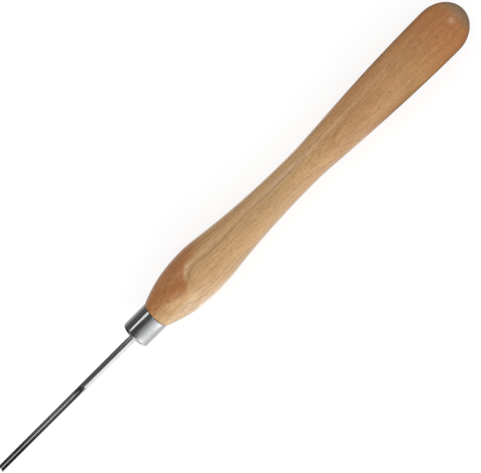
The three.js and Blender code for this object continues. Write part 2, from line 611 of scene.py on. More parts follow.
@dataclass(frozen=True)
class LacqueredBeech(Finish):
    """Steamed beech under a satin lacquer, sawn so that the top of the handle is flat grain.

    The stem that it was cut from twists, leans and bends a little. Places on the handle are in
    metres, and heights in the stem are in millimetres.
    """

    name: ClassVar[str] = "lacquered_beech"
    pale: Triple = from_screen(204, 163, 111)
    warm: Triple = from_screen(193, 151, 99)
    late: Triple = from_screen(158, 111, 64)
    ray: Triple = from_screen(140, 92, 50)
    ray_share: float = 0.55
    fibre_shades: Ease = Ease(0.2, 0.8, 0.82, 1.18)
    streak_shades: Ease = Ease(0.25, 0.75, 0.88, 1.12)
    streak_middle: float = 0.5
    axis_height: float = 21.25
    pith_depth: float = 41.0
    stem_twist: Ease = Ease(-0.06, -0.175, 0.0, math.radians(34))
    stem_lean: float = math.tan(math.radians(3))
    stem_bends: tuple[Ease, ...] = (
        Ease(0.028, -0.038, -1.3, 1.5),
        Ease(-0.04, -0.084, 0.0, -0.8),
        Ease(-0.088, -0.114, 0.0, -0.8),
    )
    late_along: Ease = Ease(-0.118, -0.15, 0.55, 0.24)
    late_left: Ease = Ease(-0.008, -0.0115, 1.0, 1.6)
    quiet_along: Ease = Ease(-0.09, -0.07, 0.35, 0.8)
    quiet_across: tuple[Ease, ...] = (Ease(-0.002, 0.004), Ease(0.0125, 0.0095))
    heart: Triple = from_screen(172, 101, 42)
    heart_along: Ease = Ease(0.035, 0.0385)
    heart_across: Ease = Ease(0.0045, -0.0065, end=0.8)
    heart_corner: float = -0.0053
    heart_slants: tuple[float, float] = (1.13, 1.3)
    heart_widening: Ease = Ease(0.066, 0.042, end=0.0055)
    heart_raggedness: tuple[float, float] = (0.006, 0.012)
    sharp_across: Ease = Ease(-0.0145, -0.0115)
    faint_along: Ease = Ease(0.01, 0.041)
    faint_across: Ease = Ease(-0.0095, -0.0125)
    rim: Triple = from_screen(228, 192, 146)
    rim_along: tuple[Ease, ...] = (Ease(0.031, 0.0347), Ease(0.037, 0.0347))
    rim_across: Ease = Ease(-0.001, -0.0053, end=0.34)
    sapwood: Tint = Tint(from_screen(234, 207, 168), 0.5, (Ease(0.028, 0.052),), (Ease(0.0075, 0.0125),))
    # A pale grey band left of the middle of the waist: a painted sheen of the lacquer, laid on as colour
    waist: Tint = Tint(
        from_screen(226, 206, 182),
        0.19,
        (Ease(-0.015, -0.075), Ease(-0.13, -0.075)),
        (Ease(-0.0005, -0.006), Ease(-0.0115, -0.006)),
    )
    # Painted shade: the left side, away from the key lamp, darkens towards the butt
    left_shade: Tint = Tint(from_screen(160, 82, 48), 0.23, (Ease(-0.1, -0.15),), (Ease(-0.007, -0.013),))
    swell: Tint = Tint(from_screen(184, 124, 68), 0.5, (Ease(-0.06, -0.16),))
    butt: Tint = Tint(from_screen(183, 118, 62), 0.9, (Ease(-0.188, -0.232),))
    # Greyish end grain on the butt's dome: partly the wood's own colour, partly painted shade where the
    # dome faces away from the lamps
    end_grain_and_shade: Tint = Tint(from_screen(155, 127, 97), 0.9, (Ease(-0.2415, -0.2503),))
    mark_size: float = 0.03
    roughness: Ease = Ease(0.0, 1.0, 0.38, 0.5)
    coat: Ease = Ease(0.0, 1.0, 1.0, 0.86)
    coat_roughness: float = 0.17
    grain_depth: float = 0.00004
    grain_strength: float = 0.35
    ray_height: float = 0.6

    def dress(self, sheet: Sheet, place: Socket) -> dict[str, Source]:
        """Adds rings, rays and fibres, a reddish heart, tints along the handle with a painted sheen at the
        waist and painted shade on the left towards the butt and on part of the butt's end, and the
        lacquer.

        Args:
            sheet: The material's sheet.
            place: The place on the handle, in metres.

        Returns:
            What each input of the surface's shader is fed from.
        """
        parts = sheet.parts(place)
        growth = Growth.place(sheet, Place=self._in_the_stem(sheet, place, parts[0]))
        patches = Handling.place(sheet, Place=place, Size=self.mark_size)["Patches"]
        body = sheet.mix(growth["Ring Tone"], self.pale, self.warm)
        body = self._hearted(sheet, body, parts, sheet.less(growth["Streaks"], self.streak_middle))
        # The waist's tint is a painted sheen; the left side's tint and part of the end grain's are painted
        # shade
        for tint in (self.sapwood, self.waist, self.left_shade, self.swell, self.butt, self.end_grain_and_shade):
            body = tint.over(sheet, body, parts)
        lateness = self._lateness(sheet, parts[0], parts[1])
        body = sheet.mix(sheet.times(growth["Late Wood"], lateness), body, self.late)
        body = sheet.mix(sheet.times(growth["Rays"], self.ray_share), body, self.ray)
        fine = sheet.ease(growth["Fibre"], *self.fibre_shades)
        broad = sheet.ease(growth["Streaks"], *self.streak_shades)
        height = sheet.less(growth["Fibre"], sheet.times(growth["Rays"], self.ray_height))
        return {
            "Base Color": sheet.stretch(body, sheet.times(fine, broad)),
            "Roughness": sheet.ease(patches, *self.roughness),
            "Coat Weight": sheet.ease(patches, *self.coat),
            "Coat Roughness": self.coat_roughness,
            "Normal": sheet.relief(height, self.grain_depth, self.grain_strength),
        }

    def _in_the_stem(self, sheet: Sheet, place: Socket, along: Source) -> Socket:
        """Finds where the wood lay in the stem.

        Args:
            sheet: The material's sheet.
            place: The place on the handle, in metres.
            along: The place along the handle.

        Returns:
            The place from the pith, in millimetres.
        """
        scaling = {"Scale": (MILLIMETRES,) * 3, "Location": (0.0, 0.0, -self.axis_height)}
        from_axis = sheet.node("ShaderNodeMapping", {"Vector": place, **scaling}, vector_type="POINT")
        turning = {"Vector": from_axis.outputs[0], "Angle": sheet.ease(along, *self.stem_twist)}
        twisted = sheet.node("ShaderNodeVectorRotate", turning, rotation_type="X_AXIS")
        height = sheet.plus(sheet.times(along, -MILLIMETRES * self.stem_lean), self.pith_depth)
        for bend in self.stem_bends:
            height = sheet.plus(height, sheet.ease(along, *bend))
        return sheet.vector(Vectors.ADD, twisted.outputs[0], sheet.point(0.0, 0.0, height))

    def _lateness(self, sheet: Sheet, along: Source, across: Source) -> Source:
        """Finds how strongly the late wood shows, which is least on the right and near the butt.

        Args:
            sheet: The material's sheet.
            along: The place along the handle.
            across: The place across the handle.

        Returns:
            The share of the late wood's colour.
        """
        quiet = sheet.times(sheet.within(across, *self.quiet_across), sheet.ease(along, *self.quiet_along))
        eased = (sheet.ease(along, *self.late_along), sheet.ease(across, *self.late_left))
        return sheet.times(*eased, sheet.less(1.0, quiet))

    def _hearted(self, sheet: Sheet, body: Source, parts: Outputs, ragged: Source) -> Socket:
        """Lays in the reddish heart on the left of the belly, and the pale rim behind it.

        Args:
            sheet: The material's sheet.
            body: The colour of the plain wood.
            parts: The place along the handle, across it and up.
            ragged: What breaks the edges, on either side of 0.

        Returns:
            The colour of the wood and its heart.
        """
        along, across = parts[0], parts[1]
        upper_slant, lower_slant = self.heart_slants
        along_ragged, across_ragged = (sheet.times(ragged, reach) for reach in self.heart_raggedness)
        past = sheet.sum(Maths.SMALLER, sheet.less(across, self.heart_corner), 0.0)
        below = sheet.sum(Maths.LARGER, across, 0.0)
        upper = sheet.less(along, sheet.times(past, upper_slant))
        uneven = sheet.plus(sheet.less(upper, sheet.times(below, lower_slant)), along_ragged)
        side = sheet.less(across, sheet.ease(along, *self.heart_widening))
        broken = sheet.ease(sheet.plus(side, across_ragged), *self.heart_across)
        sharp_side = sheet.ease(across, *self.sharp_across)
        sharp = sheet.times(sheet.ease(uneven, *self.heart_along), sharp_side)
        faint = sheet.times(sheet.ease(uneven, *self.faint_along), sheet.ease(across, *self.faint_across))
        heart = sheet.times(sheet.sum(Maths.LARGER, sharp, faint), broken)
        rim = sheet.times(sheet.within(uneven, *self.rim_along), sheet.ease(across, *self.rim_across))
        return sheet.mix(heart, sheet.mix(sheet.times(rim, sharp_side), body, self.rim), self.heart)


@dataclass(frozen=True)
class TurnedPlate(Finish):
    """Bright plating over a turned cup, with the turning's fine rings showing through."""

    name: ClassVar[str] = "turned_plate"
    colour: Triple = (0.78, 0.79, 0.80)
    deep_colour: Triple = (0.55, 0.56, 0.58)
    deep_share: float = 0.3
    ring_density: Triple = (3400.0, 40.0, 40.0)  # a metre
    ring_gathering: float = 0.2
    ring_depth: float = 0.000004
    mark_size: float = 0.006
    roughness: Ease = Ease(0.0, 1.0, 0.07, 0.13)
    worn_width: float = 0.0004
    worn_roughness: float = 0.12
    smooth_corner: tuple[float, float] = (0.0995, 0.0983)
    smooth_height: float = 0.5

    def dress(self, sheet: Sheet, place: Socket) -> dict[str, Source]:
        """Adds the turning lines, finger marks and rubbed corners.

        Args:
            sheet: The material's sheet.
            place: The place on the ferrule, in metres.

        Returns:
            What each input of the surface's shader is fed from.
        """
        rings = ToolLines.place(
            sheet, Place=place, Density=self.ring_density, Gathering=self.ring_gathering
        )
        patches = Handling.place(sheet, Place=place, Size=self.mark_size)["Patches"]
        worn = sheet.times(EdgeWearAndGlint.place(sheet, Width=self.worn_width)["Worn"], self.worn_roughness)
        along = sheet.parts(place)[0]
        height = sheet.ease(along, *self.smooth_corner, self.smooth_height, rings["Height"])
        deep = sheet.times(rings["Deep"], self.deep_share)
        return {
            "Base Color": sheet.mix(deep, self.colour, self.deep_colour),
            "Metallic": 1.0,
            "Roughness": sheet.plus(sheet.ease(patches, *self.roughness), worn),
            "Normal": sheet.relief(height, self.ring_depth),
        }


@dataclass(frozen=True)
class ToolSteel(Finish):
    """Hardened steel, with lines from the stone or the cutter that shaped it."""

    line_gathering: ClassVar[float] = 0.15
    line_levels: ClassVar[tuple[float, float]] = (0.3, 0.7)
    mark_size: ClassVar[float] = 0.008
    dark_share: ClassVar[float] = 0.72
    tarnish_share: ClassVar[float] = 0.35
    deep_share: ClassVar[float] = 0.25
    worn_width: ClassVar[float] = 0.00015
    # Rubbed steel at the lips and corners, and partly a painted highlight there
    worn_and_glint_colour: ClassVar[Triple] = (0.82, 0.82, 0.83)
    edge_along: ClassVar[Ease] = Ease(0.2, 0.235)

    name: str
    colour: Triple
    line_density: Triple  # a metre
    line_depth: float
    roughness: tuple[float, float]
    # How dark the colour grows towards the cutting edge: painted shade
    edge_shade_share: float
    tints: tuple[Tint, ...] = ()

    def dress(self, sheet: Sheet, place: Socket) -> dict[str, Source]:
        """Adds grinding lines, patches of tarnish, bright corners that are partly rubbed steel and partly
        a painted highlight, and painted shade towards the cutting edge.

        Args:
            sheet: The material's sheet.
            place: The place on the bar, in metres.

        Returns:
            What each input of the surface's shader is fed from.
        """
        lines = ToolLines.place(
            sheet, Place=place, Density=self.line_density, Gathering=self.line_gathering
        )
        patches = Handling.place(sheet, Place=place, Size=self.mark_size)["Patches"]
        worn = EdgeWearAndGlint.place(sheet, Width=self.worn_width)["Worn"]
        dark, shaded_at_edge = (
            tuple(share * level for level in self.colour) for share in (self.dark_share, self.edge_shade_share)
        )
        parts = sheet.parts(place)
        # Painted shade: the steel darkens towards the cutting edge
        towards_edge = sheet.ease(parts[0], *self.edge_along)
        body = sheet.mix(towards_edge, self.colour, shaded_at_edge)
        body = sheet.mix(sheet.times(patches, self.tarnish_share), body, dark)
        body = sheet.mix(sheet.times(lines["Deep"], self.deep_share), body, dark)
        return {
            # Base colour with the bright corners: rubbed steel and partly a painted highlight
            "Base Color": sheet.mix(worn, self.toned(sheet, body, parts, towards_edge), self.worn_and_glint_colour),
            "Metallic": 1.0,
            "Roughness": sheet.ease(lines["Height"], *self.line_levels, *self.roughness),
            "Normal": sheet.relief(lines["Height"], self.line_depth),
        }

    def toned(self, sheet: Sheet, body: Source, parts: Outputs, towards_edge: Source) -> Source:
        """Lays the tints over the body's colour, however near the cutting edge is."""
        return reduce(lambda beneath, tint: tint.over(sheet, beneath, parts), self.tints, body)


@dataclass(frozen=True)
class FluteSteel(ToolSteel):
    """Milled steel that is bright along the bottom, with painted shade that is dark on the walls and
    darkest at the end.
    """

    painted_wall_shade: ClassVar[Triple] = (0.3, 0.3, 0.305)
    painted_edge_wall_shade: ClassVar[Triple] = (0.11, 0.11, 0.112)
    bottom_half_width: ClassVar[Ease] = Ease(0.0005, 0.0011)
    end_along: ClassVar[Ease] = Ease(0.1655, 0.1615)
    end_half_width: ClassVar[Ease] = Ease(0.0, 0.0009)
    painted_end_shades: ClassVar[tuple[Triple, Triple]] = ((0.2, 0.2, 0.2), (0.05, 0.05, 0.05))

    def toned(self, sheet: Sheet, body: Source, parts: Outputs, towards_edge: Source) -> Source:
        """Paints shade on the walls, and over the whole of the run-out's end.

        Args:
            sheet: The material's sheet.
            body: The colour of the bottom.
            parts: The place along the bar, across it and up.
            towards_edge: How near the cutting edge is, from 0 to 1.

        Returns:
            The colour of the bottom, the walls and the end.
        """
        reach = sheet.sum(Maths.SIZE, parts[1])
        # Painted shade: the walls are dark, and darker still towards the cutting edge
        walls = sheet.mix(towards_edge, self.painted_wall_shade, self.painted_edge_wall_shade)
        milled = sheet.mix(sheet.ease(reach, *self.bottom_half_width), body, walls)
        # Painted shade over the run-out's end, standing in for the shade in the flute's wider end
        end = sheet.mix(sheet.ease(reach, *self.end_half_width), *self.painted_end_shades)
        return sheet.mix(sheet.ease(parts[0], *self.end_along), milled, end)


# Painted shade: a dark patch to the right of the flute's end
PAINTED_END_SHADE = Tint(
    colour=(0.1, 0.1, 0.1),
    share=0.75,
    along=(Ease(0.1567, 0.1577), Ease(0.175, 0.168)),
    across=(Ease(0.0003, 0.0008), Ease(0.0026, 0.0020)),
)
GROUND_BAR = ToolSteel(
    name="ground_bar",
    colour=(0.84, 0.84, 0.845),
    line_density=(25.0, 5200.0, 5200.0),
    line_depth=0.000003,
    roughness=(0.1, 0.18),
    edge_shade_share=0.9,
    tints=(PAINTED_END_SHADE,),
)
# The flute's finish carries painted shade on its walls and its end
MILLED_SHADED_FLUTE = FluteSteel(
    name="milled_shaded_flute",
    colour=(0.9, 0.9, 0.905),
    line_density=(60.0, 3800.0, 3800.0),
    line_depth=0.000004,
    roughness=(0.14, 0.22),
    edge_shade_share=0.75,
)
GROUND_BEVEL = ToolSteel(
    name="ground_bevel",
    colour=(0.7, 0.7, 0.705),
    line_density=(900.0, 7800.0, 900.0),
    line_depth=0.000006,
    roughness=(0.22, 0.34),
    edge_shade_share=1.0,
)


# Shapes


@dataclass(frozen=True)
class Places:
    """Where the pieces meet along the tool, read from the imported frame."""

    edge: float
    tang_end: float
    ferrule_face: float
    ferrule_rim: float
    shoulder: float
    butt: float
    axis_height: float

    @classmethod
    def read(cls) -> "Places":
        """Reads the places from the boxes of the CAD nodes.

        Returns:
            The places.
        """
        bar_low, bar_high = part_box("gouge_bar")
        ferrule_low, ferrule_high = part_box("ferrule")
        handle_low, handle_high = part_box("handle")
        return cls(
            edge=bar_high.x,
            tang_end=bar_low.x,
            ferrule_face=ferrule_high.x,
            ferrule_rim=ferrule_low.x,
            shoulder=ferrule_low.x - SEAT_GAP,
            butt=handle_low.x,
            axis_height=(handle_low.z + handle_high.z) / 2,
        )


def in_scene(name: str, data: bpy.types.ID) -> bpy.types.Object:
    """Adds an object to the scene.

    Args:
        name: The object's name.
        data: Its mesh, camera or lamp.

    Returns:
        The object.
    """
    made = bpy.data.objects.new(name, data)
    bpy.context.scene.collection.objects.link(made)
    return made


def as_data(name: str, mesh: bmesh.types.BMesh) -> bpy.types.Mesh:
    """Turns a finished mesh into an object's data.

    Args:
        name: The data's name.
        mesh: The mesh, which is freed.

    Returns:
        The data.
    """
    data = bpy.data.meshes.new(name)
    mesh.to_mesh(data)
    mesh.free()
    return data


def arc(centre: Vector, radius: float, start: float, end: float, steps: int) -> list[Vector]:
    """Points of an arc, between two directions that are measured from +X towards the outside."""
    turns = (start + (end - start) * step / steps for step in range(steps + 1))
    return [centre + radius * Vector((math.cos(turn), math.sin(turn))) for turn in turns]


def turned(outline: Sequence[Vector], axis_height: float, steps: int) -> bmesh.types.BMesh:
    """Turns an outline round the tool's axis.

    Args:
        outline: Points as place along the tool and distance from its axis.
        axis_height: The height of the axis.
        steps: The number of steps round the axis.

    Returns:
        The turned mesh.
    """
    mesh = bmesh.new()
    points = [mesh.verts.new((place, 0.0, axis_height + radius)) for place, radius in outline]
    edges = [mesh.edges.new(pair) for pair in zip(points, points[1:])]
    bmesh.ops.spin(
        mesh,
        geom=points + edges,
        cent=(0.0, 0.0, axis_height),
        axis=(1.0, 0.0, 0.0),
        angle=2 * math.pi,
        steps=steps,
        use_merge=True,
    )
    return mesh


class ToolPiece(ABC):
    """A piece of the tool, which stands for one CAD node."""

    title: ClassVar[str]
    node: ClassVar[str]
    slot: ClassVar[str]
    crease: ClassVar[float] = math.radians(24)

    @abstractmethod
    def mesh(self, places: Places) -> bmesh.types.BMesh:
        """Makes the piece's mesh.

        Args:
            places: Where the pieces meet.

        Returns:
            The mesh, in place.
        """

    @abstractmethod
    def finishes(self) -> list[Finish]:
        """Returns the piece's finishes, in the order of its faces' material numbers."""

    def build(self, places: Places) -> None:
        """Builds the piece, dresses it and puts it on the tool.

        Args:
            places: Where the pieces meet.
        """
        mesh = self.mesh(places)
        bmesh.ops.remove_doubles(mesh, verts=mesh.verts, dist=MERGE_DISTANCE)
        bmesh.ops.recalc_face_normals(mesh, faces=mesh.faces)
        for face in mesh.faces:
            face.smooth = True
        for edge in mesh.edges:
            edge.smooth = edge.calc_face_angle(0.0) < self.crease
        data = as_data(self.title, mesh)
        for finish in self.finishes():
            data.materials.append(finish.material())
        piece = in_scene(self.title, data)
        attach(piece, "root")
        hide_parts(self.node)
        log.info("%s: %d faces, standing for %s", self.title, len(data.polygons), self.node)


class Station(NamedTuple):
    """A place behind the handle's shoulder, and the handle's radius there."""

    behind: float
    radius: float


@dataclass(frozen=True)
class Handle(ToolPiece):
    """The turned handle: a spigot under the ferrule, a belly, a waist, a swell and a domed butt."""

    title: ClassVar[str] = "turned_handle"
    node: ClassVar[str] = "handle"
    slot: ClassVar[str] = "beech"
    neck: Station = Station(0.0, 0.012)
    belly: Station = Station(0.0506, 0.0213)
    waist: Station = Station(0.1636, 0.0141)
    swell: Station = Station(0.3062, 0.0199)
    neck_slope: float = math.tan(math.radians(22))
    neck_softening: float = 0.0003
    neck_reach_shares: tuple[float, float] = (0.47, 0.19)
    hollow_reach_shares: tuple[float, float] = (0.11, 0.61)
    grip_reach_shares: tuple[float, float] = (0.08, 0.48)
    spigot_radius: float = 0.0105
    spigot_softening: float = 0.0012
    spigot_length: float = 0.0225
    bore_radius: float = 0.0033
    drill_slope: float = math.tan(math.radians(59))
    corner_steps: int = 6
    stretch_steps: int = 44
    butt_steps: int = 30
    steps_round: int = 160

    def mesh(self, places: Places) -> bmesh.types.BMesh:
        """Turns the handle's outline, from the bottom of its drilled hole round to the butt."""
        return turned(self._hole(places) + self._outside(places), places.axis_height, self.steps_round)

    def finishes(self) -> list[Finish]:
        """Returns the lacquered wood."""
        return [LacqueredBeech()]

    def _hole(self, places: Places) -> list[Vector]:
        """Outlines the drilled hole and the spigot.

        Args:
            places: Where the pieces meet.

        Returns:
            The points, from the bottom of the hole to the shoulder.
        """
        hole_end = places.tang_end - SEAT_GAP
        spigot_face = places.shoulder + self.spigot_length
        soft = self.spigot_softening
        corner = Vector((spigot_face - soft, self.spigot_radius - soft))
        return [
            Vector((hole_end - self.bore_radius / self.drill_slope, 0.0)),
            Vector((hole_end, self.bore_radius)),
            Vector((spigot_face, self.bore_radius)),
            *arc(corner, soft, 0.0, math.pi / 2, self.corner_steps),
            Vector((places.shoulder, self.spigot_radius)),
        ]

    def _outside(self, places: Places) -> list[Vector]:
        """Outlines the shown wood.

        Args:
            places: Where the pieces meet.

        Returns:
            The points, from the shoulder to the middle of the butt.
        """
        soft = self.neck_softening
        start, belly, waist, swell = (
            Vector((places.shoulder - station.behind, station.radius))
            for station in (self.neck, self.belly, self.waist, self.swell)
        )
        neck = self._stretch(start, belly, self.neck_slope, self.neck_reach_shares)
        hollow = self._stretch(belly, waist, 0.0, self.hollow_reach_shares)
        grip = self._stretch(waist, swell, 0.0, self.grip_reach_shares)
        turns = (math.pi / 2 * step / self.butt_steps for step in range(1, self.butt_steps + 1))
        length = places.butt - swell.x
        dome = [Vector((swell.x + length * math.sin(turn), swell.y * math.cos(turn))) for turn in turns]
        eased = [Vector((start.x, start.y - soft)), Vector((start.x - soft / 2, start.y - soft / 6))]
        shown = eased + [point for point in neck[1:] if point.x < start.x - soft] + hollow[1:] + grip[1:]
        return [Vector((point.x, point.y * FLAT_SHARE)) for point in shown + dome]

    def _stretch(
        self, start: Vector, end: Vector, slope: float, reach_shares: tuple[float, float]
    ) -> list[Vector]:
        """Outlines one stretch of the handle, level at its far end.

        Args:
            start: Where the stretch starts.
            end: Where it ends.
            slope: How steeply it rises where it starts.
            reach_shares: How far each end's control point reaches, as a share of the stretch.

        Returns:
            The points, with both ends.
        """
        length = start.x - end.x
        leave_share, arrive_share = reach_shares
        leave = start + Vector((-1.0, slope)) * leave_share * length
        arrive = end + Vector((arrive_share * length, 0.0))
        return interpolate_bezier(start, leave, arrive, end, self.stretch_steps + 1)


@dataclass(frozen=True)
class Ferrule(ToolPiece):
    """The ferrule: a thin cup with a rounded front corner and a hole for the bar in its web."""

    title: ClassVar[str] = "ferrule_cup"
    node: ClassVar[str] = "ferrule"
    slot: ClassVar[str] = "plated_steel"
    radius: float = 0.012
    wall: float = 0.0012
    corner_radius: float = 0.0024
    rim_radius: float = 0.0004
    hole_radius: float = 0.0033
    hole_softening: float = 0.0002
    corner_steps: int = 24
    rim_steps: int = 6
    hole_steps: int = 4
    steps_round: int = 160

    def mesh(self, places: Places) -> bmesh.types.BMesh:
        """Turns the section of the cup's wall.

        Args:
            places: Where the pieces meet.

        Returns:
            The mesh, in place.
        """
        outside = self.radius * FLAT_SHARE
        bore = self.radius - self.wall
        web_corner_radius = self.corner_radius - self.wall
        face, rim, soft = places.ferrule_face, places.ferrule_rim, self.hole_softening
        inner = Vector((face - self.corner_radius, bore - web_corner_radius))
        outer = Vector((face - self.corner_radius, outside - self.corner_radius))
        back = Vector((rim + self.rim_radius, outside - self.rim_radius))
        mouth = Vector((face - soft, self.hole_radius + soft))
        section = [
            Vector((rim, bore)),
            *arc(inner, web_corner_radius, math.pi / 2, 0.0, self.corner_steps),
            Vector((face - self.wall, self.hole_radius)),
            *arc(mouth, soft, -math.pi / 2, 0.0, self.hole_steps),
            *arc(outer, self.corner_radius, 0.0, math.pi / 2, self.corner_steps),
            *arc(back, self.rim_radius, math.pi / 2, math.pi, self.rim_steps),
            Vector((rim, bore)),
        ]
        return turned(section, places.axis_height, self.steps_round)

    def finishes(self) -> list[Finish]:
        """Returns the plating."""
        return [TurnedPlate()]


@dataclass(frozen=True)
class GougeBar(ToolPiece):
    """The steel bar: a milled flute with a run-out, a bevel ground under it, a shank and a tang.

    The bar is two sheets of faces that meet along the cutting edge and the flute's two lips: one
    lies in the flute, and the other wraps round the outside. Both have the same columns, from
    the left lip to the right one. Each row lies some way back from the cutting edge.
    """

    title: ClassVar[str] = "fluted_bar"
    node: ClassVar[str] = "gouge_bar"
    slot: ClassVar[str] = "tool_steel"
    radius: float = 0.003 * FLAT_SHARE
    flute_length: float = 0.0965
    floor_drop: float = 0.001
    bottom_radius: float = 0.0015
    wall_angle: float = math.radians(22)
    wheel_radius: float = 0.032
    bevel_slope: float = math.tan(math.radians(45))
    heel_fade: float = 0.006
    tang_chamfer: float = 0.0008
    columns: int = 96
    straight_steps: int = 26
    run_out_steps: int = 40
    shank_steps: int = 14
    bevel_steps: int = 6
    lip_precision: float = MERGE_DISTANCE / 1000

    BAR: ClassVar[int] = 0
    FLUTE: ClassVar[int] = 1
    BEVEL: ClassVar[int] = 2

    def mesh(self, places: Places) -> bmesh.types.BMesh:
        """Wraps the two sheets, and closes the end of the tang.

        Args:
            places: Where the pieces meet.

        Returns:
            The mesh, in place.
        """
        mesh = bmesh.new()
        length = places.edge - places.tang_end
        fluted = self._fluted_rows()
        rows = fluted + self._plain_rows(length)
        spread = [self._foot(column) for column in range(self.columns + 1)]

        def in_flute(column: int, row: int) -> Vector:
            """Places a corner of the flute's sheet."""
            return self._flute_corner(spread[column][0], fluted[row])

        def outside(column: int, row: int) -> Vector:
            """Places a corner of the outer sheet.

            Args:
                column: The corner's column.
                row: Its row, counted from the cutting edge.

            Returns:
                The corner.
            """
            reach, depth = spread[column]
            if row <= self.bevel_steps:
                return self._bevel_corner(column, reach, depth, row / self.bevel_steps)
            back = rows[row - self.bevel_steps]
            fade = max(0.0, 1.0 - back / self.heel_fade)
            return self._outer_corner(column, back + depth * fade, length)

        def outer_finish(row: int) -> int:
            """Tells a row's material number on the outer sheet."""
            return self.BEVEL if row < self.bevel_steps else self.BAR

        self._sheet(mesh, len(fluted) - 1, in_flute, lambda row: self.FLUTE)
        self._sheet(mesh, self.bevel_steps + len(rows) - 1, outside, outer_finish)
        bmesh.ops.remove_doubles(mesh, verts=mesh.verts, dist=MERGE_DISTANCE)
        bmesh.ops.holes_fill(mesh, edges=[edge for edge in mesh.edges if edge.is_boundary])
        offset = Vector((places.edge, 0.0, places.axis_height))
        bmesh.ops.translate(mesh, verts=mesh.verts, vec=offset)
        return mesh

    def finishes(self) -> list[Finish]:
        """Returns the finishes of the bar, the flute and the bevel."""
        return [GROUND_BAR, MILLED_SHADED_FLUTE, GROUND_BEVEL]

    @property
    def _straight(self) -> float:
        """How far the flute runs before it starts to rise."""
        hub = self.wheel_radius - self.radius - self.floor_drop
        return self.flute_length - math.sqrt(self.wheel_radius**2 - hub**2)

    def _fluted_rows(self) -> list[float]:
        """Places the rows along the flute, closer together towards the end of the run-out.

        Returns:
            The places.
        """
        straight = [self._straight * step / self.straight_steps for step in range(self.straight_steps)]
        rise = self.flute_length - self._straight
        turns = (math.pi / 2 * step / self.run_out_steps for step in range(self.run_out_steps + 1))
        return straight + [self._straight + rise * math.sin(turn) for turn in turns]

    def _plain_rows(self, length: float) -> list[float]:
        """Places the rows between the flute and the end of the tang.

        Args:
            length: The bar's whole length.

        Returns:
            The places, without the one that the flute ends with.
        """
        end = length - self.tang_chamfer
        step = (end - self.flute_length) / self.shank_steps
        return [self.flute_length + step * count for count in range(1, self.shank_steps + 1)] + [length]

    def _sheet(
        self,
        mesh: bmesh.types.BMesh,
        rows: int,
        corner: Callable[[int, int], Vector],
        number: Callable[[int], int],
    ) -> None:
        """Adds a grid and wraps it to its shape.

        Args:
            mesh: The mesh that it goes into.
            rows: The number of rows of faces.
            corner: Places the corner at a column and row.
            number: Gives the material number of a row of faces.
        """
        grid = bmesh.ops.create_grid(mesh, x_segments=self.columns, y_segments=rows, size=0.5)["verts"]
        spots = {
            vertex: (round((vertex.co.x + 0.5) * self.columns), round((vertex.co.y + 0.5) * rows))
            for vertex in grid
        }
        for face in {face for vertex in grid for face in vertex.link_faces}:
            face.material_index = number(min(spots[vertex][1] for vertex in face.verts))
        for vertex, spot in spots.items():
            vertex.co = corner(*spot)

    def _section(self, reach: float) -> Vector:
        """Point of the straight flute's section.

        Args:
            reach: The distance along the section from its middle, to the right where positive.

        Returns:
            The point, to the right of the bar's axis and above it.
        """
        bend = self.bottom_radius * (math.pi / 2 - self.wall_angle)
        turn = min(abs(reach), bend) / self.bottom_radius
        wall = max(0.0, abs(reach) - bend)
        side = self.bottom_radius * math.sin(turn) + wall * math.sin(self.wall_angle)
        rise = self.bottom_radius * (1.0 - math.cos(turn)) + wall * math.cos(self.wall_angle)
        return Vector((math.copysign(side, reach), rise - self.floor_drop))

    def _flute(self, reach: float, back: float) -> Vector:
        """Point of the flute, which rises with the wheel's rim in the run-out.

        Args:
            reach: The distance along the section from its middle.
            back: The distance back from the cutting edge.

        Returns:
            The point, to the right of the bar's axis and above it.
        """
        point = self._section(reach)
        past = max(0.0, back - self._straight)
        hub = self.wheel_radius - self.floor_drop
        return Vector((point.x, hub - math.sqrt(max(0.0, (hub - point.y) ** 2 - past**2))))

    def _lip(self, back: float) -> float:
        """Finds how far along the flute's section its lip is.

        Args:
            back: The distance back from the cutting edge.

        Returns:
            The distance along the section, from its middle to where it leaves the bar.
        """
        low, high = 0.0, 2 * self.radius
        if self._flute(0.0, back).length >= self.radius:
            return 0.0
        while high - low > self.lip_precision:
            middle = (low + high) / 2
            if self._flute(middle, back).length < self.radius:
                low = middle
            else:
                high = middle
        return low

    def _rim(self, column: int, back: float) -> Vector:
        """Point of the round outside of the bar, between the flute's two lips.

        Args:
            column: The column.
            back: The distance back from the cutting edge.

        Returns:
            The point, to the right of the bar's axis and above it.
        """
        lip = self._flute(self._lip(back), back)
        lip_turn = math.pi if back >= self.flute_length else math.pi - math.atan2(lip.x, lip.y)
        turn = lip_turn * (2 * column / self.columns - 1)
        return self.radius * Vector((math.sin(turn), -math.cos(turn)))

    def _foot(self, column: int) -> tuple[float, float]:
        """Finds the point of the cutting edge that a column of the bevel starts from.

        Args:
            column: The column.

        Returns:
            How far along the flute's section the point is, and how far back the bevel runs.
        """
        rim = self._rim(column, 0.0)
        side = abs(rim.x)
        centre = self.bottom_radius - self.floor_drop
        turn = math.atan2(side, centre - rim.y)
        bend = math.pi / 2 - self.wall_angle
        if turn <= bend:
            reach = turn * self.bottom_radius
            gap = math.hypot(side, centre - rim.y) - self.bottom_radius
        else:
            start = self._section(bend * self.bottom_radius)
            from_start = Vector((side, rim.y)) - start
            along = Vector((math.sin(self.wall_angle), math.cos(self.wall_angle)))
            reach = bend * self.bottom_radius + from_start.dot(along)
            gap = from_start.dot(Vector((along.y, -along.x)))
        return math.copysign(reach, rim.x), max(0.0, gap) / self.bevel_slope

    def _flute_corner(self, reach: float, back: float) -> Vector:
        """Corner of the flute's sheet, whose columns draw together in the run-out."""
        drawn = reach * self._lip(back) / self._lip(0.0)
        return Vector((-back, *self._flute(drawn, back)))

